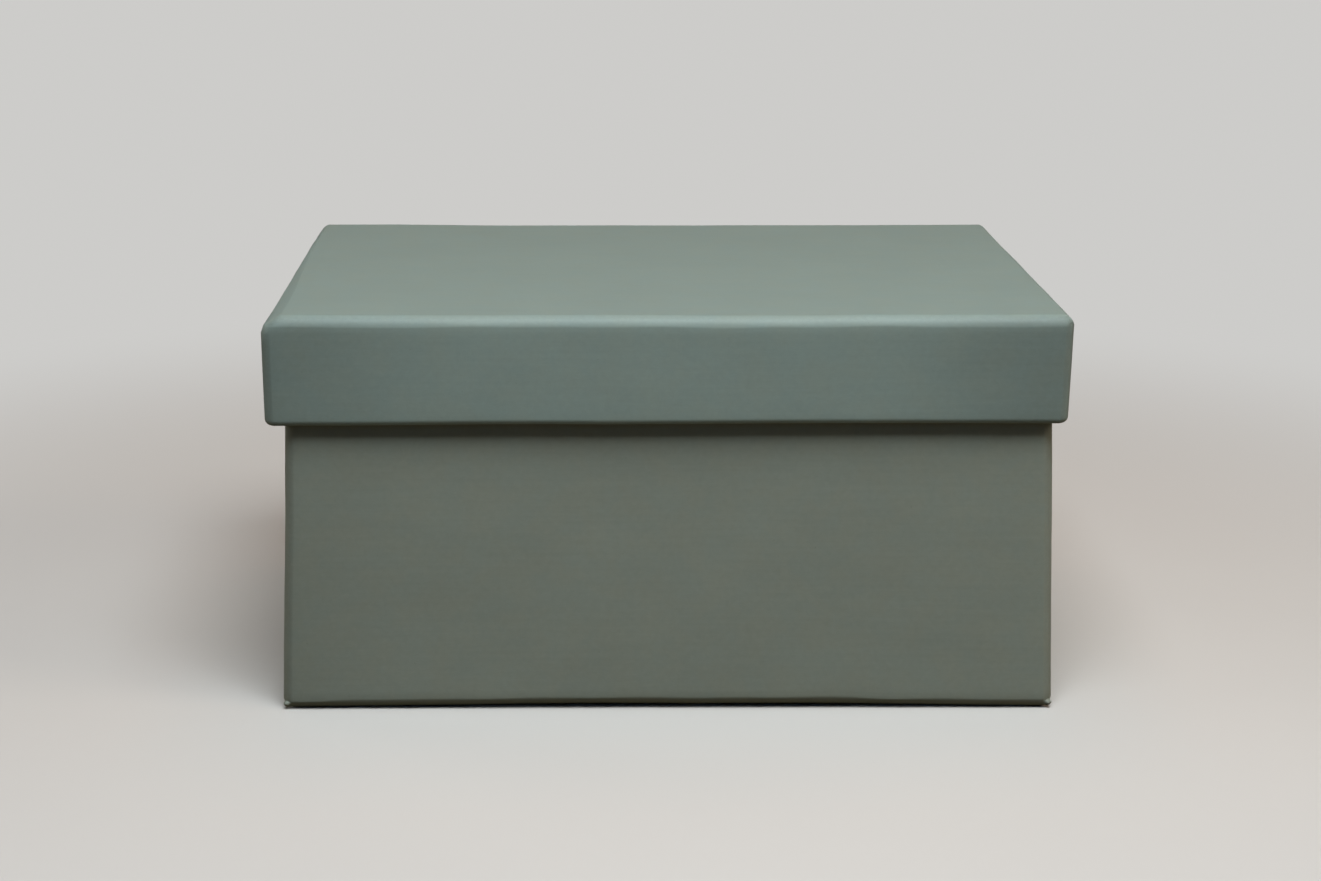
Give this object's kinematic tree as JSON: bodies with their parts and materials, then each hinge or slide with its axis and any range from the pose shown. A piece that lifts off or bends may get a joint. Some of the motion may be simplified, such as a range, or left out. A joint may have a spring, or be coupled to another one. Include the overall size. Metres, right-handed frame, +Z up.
{
  "type": "archival box",
  "caption": "Two-piece rigid archival box: rectangular paper-covered tray with a separate drop-on lid, for storing documents.",
  "frame": {"origin": "centre of the tray's underside", "axes": "+X along the long side, +Y from the front to the back, +Z up, the way the lid lifts off"},
  "size_m": [0.336, 0.245, 0.172],
  "materials": {
    "cover_paper": "matte grey-green paper",
    "lining_paper": "matte off-white paper",
    "board": "matte grey board",
    "stay_paper": "brown gummed paper"
  },
  "bodies": {
    "tray": {"tray_floor_board": "board", "tray_front_board": "board", "tray_back_board": "board", "tray_left_board": "board", "tray_right_board": "board", "tray_stay_front_left": "stay_paper", "tray_stay_front_right": "stay_paper", "tray_stay_back_left": "stay_paper", "tray_stay_back_right": "stay_paper", "tray_cover": "cover_paper", "tray_wall_lining": "lining_paper", "tray_floor_lining": "lining_paper"},
    "lid": {"lid_top_board": "board", "lid_front_board": "board", "lid_back_board": "board", "lid_left_board": "board", "lid_right_board": "board", "lid_stay_front_left": "stay_paper", "lid_stay_front_right": "stay_paper", "lid_stay_back_left": "stay_paper", "lid_stay_back_right": "stay_paper", "lid_cover": "cover_paper", "lid_skirt_lining": "lining_paper", "lid_top_lining": "lining_paper"}
  },
  "joints": [
    {"name": "lid_lift", "type": "slide", "parent": "tray", "child": "lid", "axis": [0, 0, 1], "range_m": [0, 0.12]}
  ]
}
